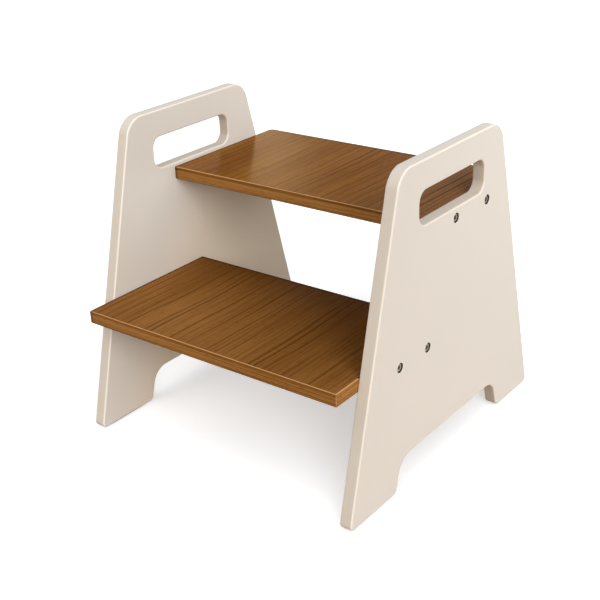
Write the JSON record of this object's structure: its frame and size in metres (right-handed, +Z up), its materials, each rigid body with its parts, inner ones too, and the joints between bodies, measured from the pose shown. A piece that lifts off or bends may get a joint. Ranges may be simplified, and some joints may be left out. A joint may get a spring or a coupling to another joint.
{
  "type": "step stool",
  "caption": "Childrens step stool: painted side panels with hand slots and foot arches, walnut treads bolted between them.",
  "frame": {"origin": "on the floor, in the middle of the footprint of the side panels", "axes": "+X to the right as seen from the front, +Y from the front, where the lower tread is, to the back, +Z up"},
  "size_m": [0.376, 0.3844, 0.36],
  "materials": {
    "painted_panel": "satin cream paint on board",
    "walnut_board": "satin lacquered walnut, grain front to back",
    "walnut_band": "satin lacquered walnut edging, grain along the edge",
    "plated_bolt": "zinc plated",
    "plated_nut": "zinc plated",
    "beech_dowel": "bare beech",
    "foot_pad": "matt black"
  },
  "bodies": {
    "root": {"left_side_panel": "painted_panel", "left_front_foot_pad": "foot_pad", "left_back_foot_pad": "foot_pad", "right_side_panel": "painted_panel", "right_front_foot_pad": "foot_pad", "right_back_foot_pad": "foot_pad", "lower_tread_board": "walnut_board", "lower_tread_front_band": "walnut_band", "lower_tread_back_band": "walnut_band", "lower_tread_left_band": "walnut_band", "lower_tread_right_band": "walnut_band", "lower_left_dowel": "beech_dowel", "lower_left_front_bolt": "plated_bolt", "lower_left_front_barrel_nut": "plated_nut", "lower_left_back_bolt": "plated_bolt", "lower_left_back_barrel_nut": "plated_nut", "lower_right_dowel": "beech_dowel", "lower_right_front_bolt": "plated_bolt", "lower_right_front_barrel_nut": "plated_nut", "lower_right_back_bolt": "plated_bolt", "lower_right_back_barrel_nut": "plated_nut", "upper_tread_board": "walnut_board", "upper_tread_front_band": "walnut_band", "upper_tread_back_band": "walnut_band", "upper_tread_left_band": "walnut_band", "upper_tread_right_band": "walnut_band", "upper_left_dowel": "beech_dowel", "upper_left_front_bolt": "plated_bolt", "upper_left_front_barrel_nut": "plated_nut", "upper_left_back_bolt": "plated_bolt", "upper_left_back_barrel_nut": "plated_nut", "upper_right_dowel": "beech_dowel", "upper_right_front_bolt": "plated_bolt", "upper_right_front_barrel_nut": "plated_nut", "upper_right_back_bolt": "plated_bolt", "upper_right_back_barrel_nut": "plated_nut"}
  },
  "joints": []
}
